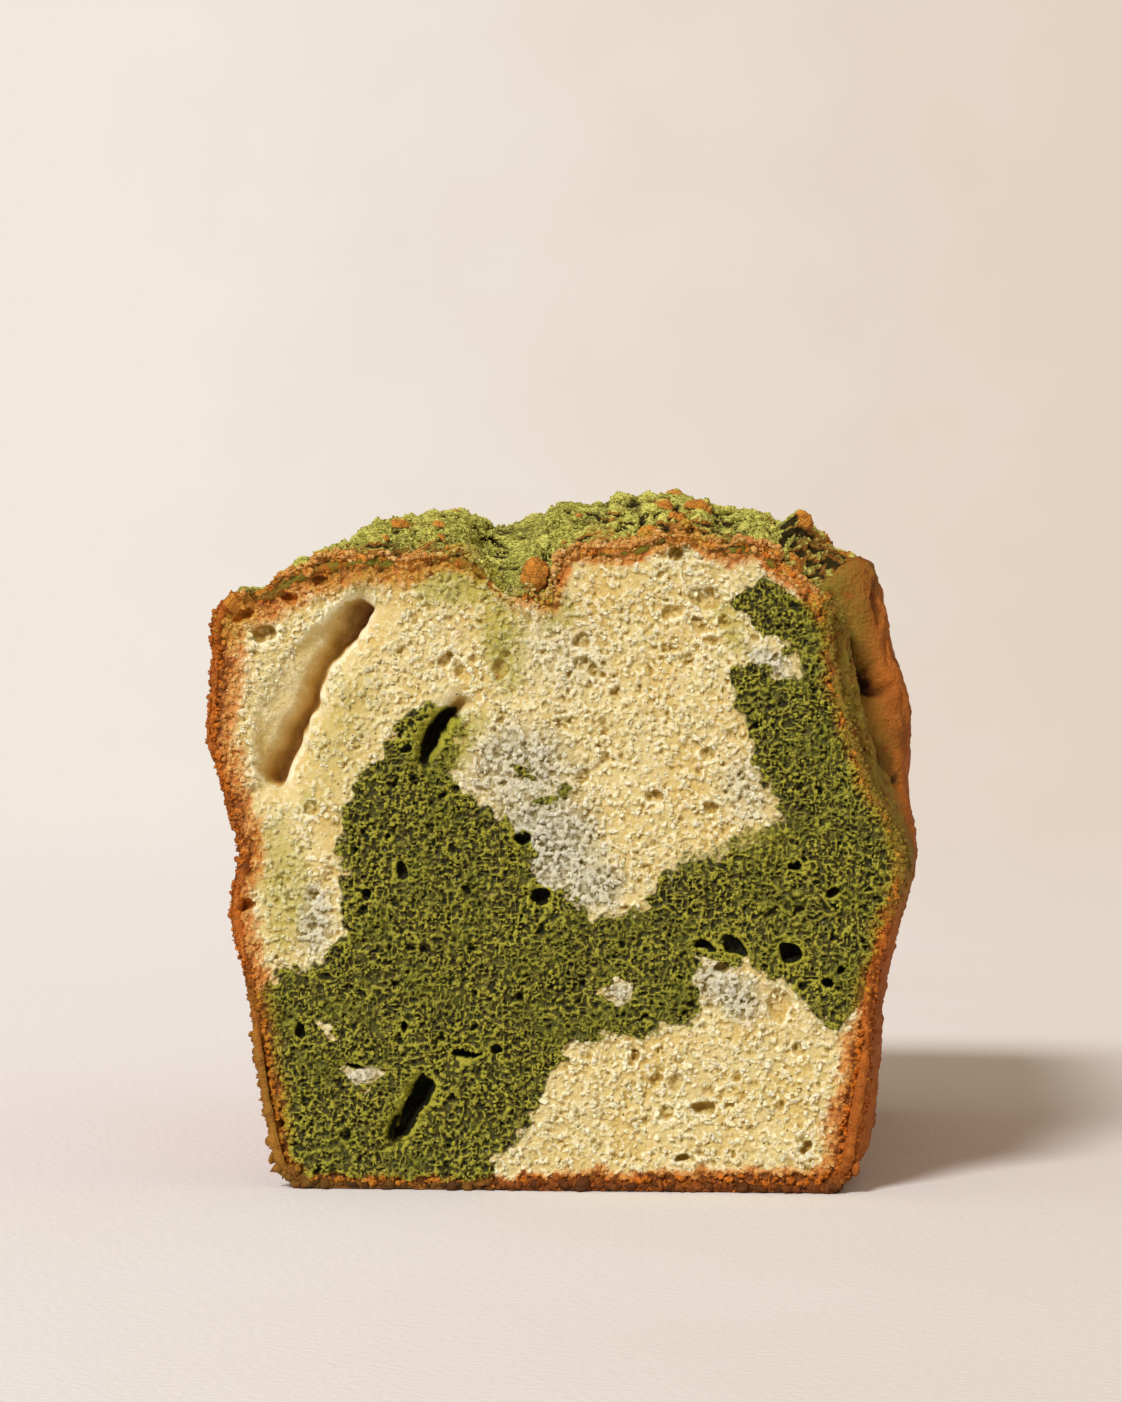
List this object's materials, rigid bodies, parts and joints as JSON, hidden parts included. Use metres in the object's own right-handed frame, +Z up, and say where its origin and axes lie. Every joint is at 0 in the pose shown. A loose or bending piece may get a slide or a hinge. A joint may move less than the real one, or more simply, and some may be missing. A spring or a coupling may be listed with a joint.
{
  "type": "marble loaf cake",
  "caption": "Tin-baked pound loaf cut across, with a green tea and vanilla marbled crumb on the cut end, browned sides and a cracked crown dusted with green powder.",
  "frame": {"origin": "centre of the bounding box's bottom face, on the flat base that the cake stands on", "axes": "+Z up, the cut end faces -Y, the baked end is toward +Y, +X is to the right of someone who looks at the cut"},
  "size_m": [0.0894, 0.1108, 0.0877],
  "materials": {
    "crust": "matt baked crust, brown to orange",
    "vanilla_crumb": "open, moist pale yellow crumb",
    "green_crumb": "open, moist olive green crumb",
    "green_dusting": "dry green powder over a browned crown"
  },
  "bodies": {
    "root": {"loaf": "crust"}
  },
  "joints": []
}
